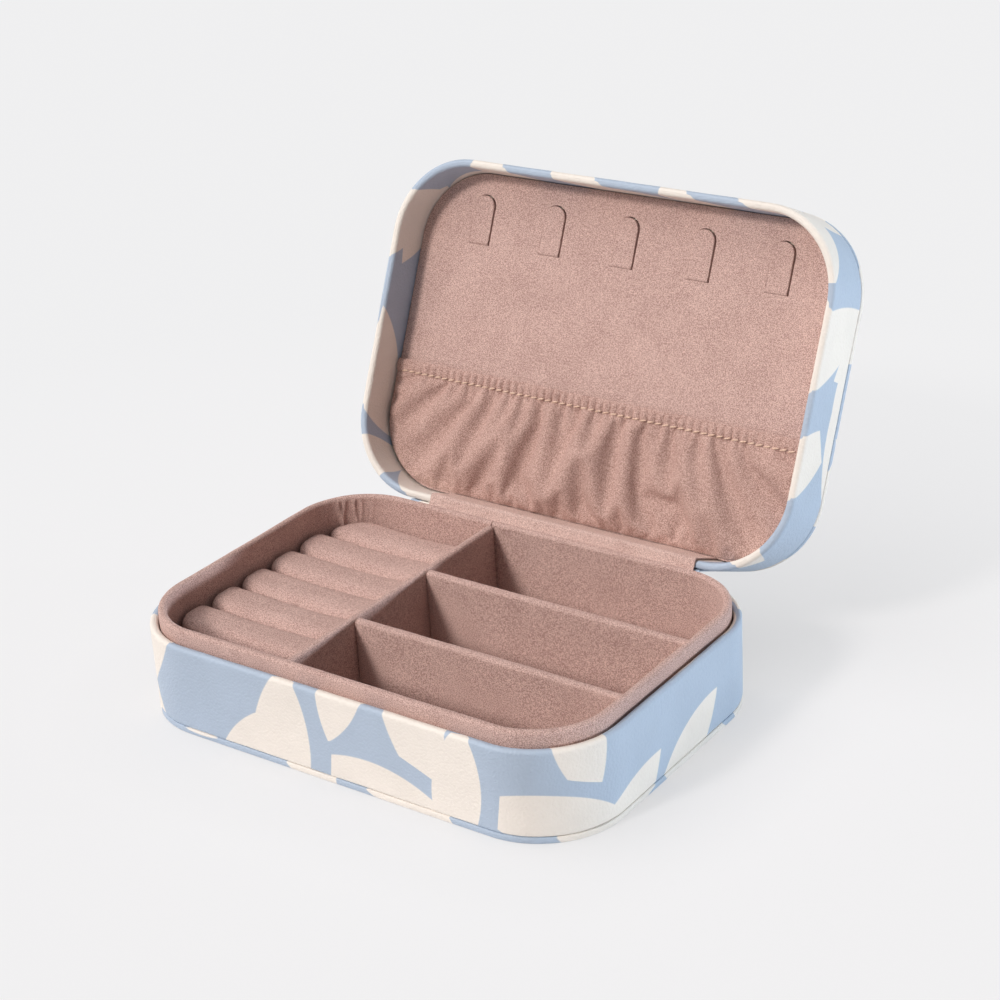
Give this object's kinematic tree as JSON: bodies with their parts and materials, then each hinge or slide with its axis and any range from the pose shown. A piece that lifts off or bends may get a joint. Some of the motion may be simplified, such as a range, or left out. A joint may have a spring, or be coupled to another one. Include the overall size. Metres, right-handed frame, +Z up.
{
  "type": "travel jewelry case",
  "caption": "Rounded rectangular jewelry case: wrapped board base and hinged lid, suede tray with ring bars and bays, lid lining with necklace tabs and a gathered pocket.",
  "frame": {"origin": "middle of the base's underside", "axes": "+X along the long side, +Y to the hinge at the back, +Z up; the lid stands open"},
  "size_m": [0.165, 0.1816, 0.1353],
  "materials": {
    "printed_leather": "satin",
    "suede": "matte",
    "greyboard": "matte",
    "foam": "matte",
    "magnet": "satin",
    "elastic": "matte"
  },
  "bodies": {
    "base": {"base_bottom_board": "greyboard", "base_bottom_wrap": "printed_leather", "base_magnet_left": "magnet", "base_magnet_right": "magnet", "base_wall_frame": "greyboard", "base_wall_wrap": "printed_leather", "front_divider_board": "greyboard", "front_divider_wrap": "suede", "hinge_lining": "suede", "hinge_spine": "printed_leather", "long_divider_board": "greyboard", "long_divider_wrap": "suede", "rear_divider_board": "greyboard", "rear_divider_wrap": "suede", "ring_bar_1": "suede", "ring_bar_2": "suede", "ring_bar_3": "suede", "ring_bar_4": "suede", "ring_bar_5": "suede", "ring_bar_6": "suede", "ring_bar_7": "suede", "tray_collar_board": "greyboard", "tray_collar_lining": "suede", "tray_floor": "suede"},
    "lid": {"lid_lining": "suede", "lid_magnet_left": "magnet", "lid_magnet_right": "magnet", "lid_pad": "foam", "lid_pocket": "suede", "lid_top_board": "greyboard", "lid_top_wrap": "printed_leather", "lid_wall_frame": "greyboard", "lid_wall_wrap": "printed_leather", "pocket_elastic": "elastic"},
    "necklace_tab_1": {"necklace_tab_1": "suede"},
    "necklace_tab_2": {"necklace_tab_2": "suede"},
    "necklace_tab_3": {"necklace_tab_3": "suede"},
    "necklace_tab_4": {"necklace_tab_4": "suede"},
    "necklace_tab_5": {"necklace_tab_5": "suede"}
  },
  "joints": [
    {"name": "lid_hinge", "type": "hinge", "parent": "base", "child": "lid", "pos_m": [0, 0.0579, 0.0307], "axis": [1, 0, 0], "range_deg": [0, 114], "deforming": ["hinge_lining", "hinge_spine"]},
    {"name": "tab_1_flex", "type": "hinge", "parent": "lid", "child": "necklace_tab_1", "pos_m": [-0.0564, 0.10669, 0.10585], "axis": [1, 0, 0], "range_deg": [0, 25], "stiffness_Nm_per_rad": 0.0008},
    {"name": "tab_2_flex", "type": "hinge", "parent": "lid", "child": "necklace_tab_2", "pos_m": [-0.0282, 0.10669, 0.10585], "axis": [1, 0, 0], "range_deg": [0, 25], "stiffness_Nm_per_rad": 0.0008},
    {"name": "tab_3_flex", "type": "hinge", "parent": "lid", "child": "necklace_tab_3", "pos_m": [0, 0.10669, 0.10585], "axis": [1, 0, 0], "range_deg": [0, 25], "stiffness_Nm_per_rad": 0.0008},
    {"name": "tab_4_flex", "type": "hinge", "parent": "lid", "child": "necklace_tab_4", "pos_m": [0.0282, 0.10669, 0.10585], "axis": [1, 0, 0], "range_deg": [0, 25], "stiffness_Nm_per_rad": 0.0008},
    {"name": "tab_5_flex", "type": "hinge", "parent": "lid", "child": "necklace_tab_5", "pos_m": [0.0564, 0.10669, 0.10585], "axis": [1, 0, 0], "range_deg": [0, 25], "stiffness_Nm_per_rad": 0.0008}
  ]
}
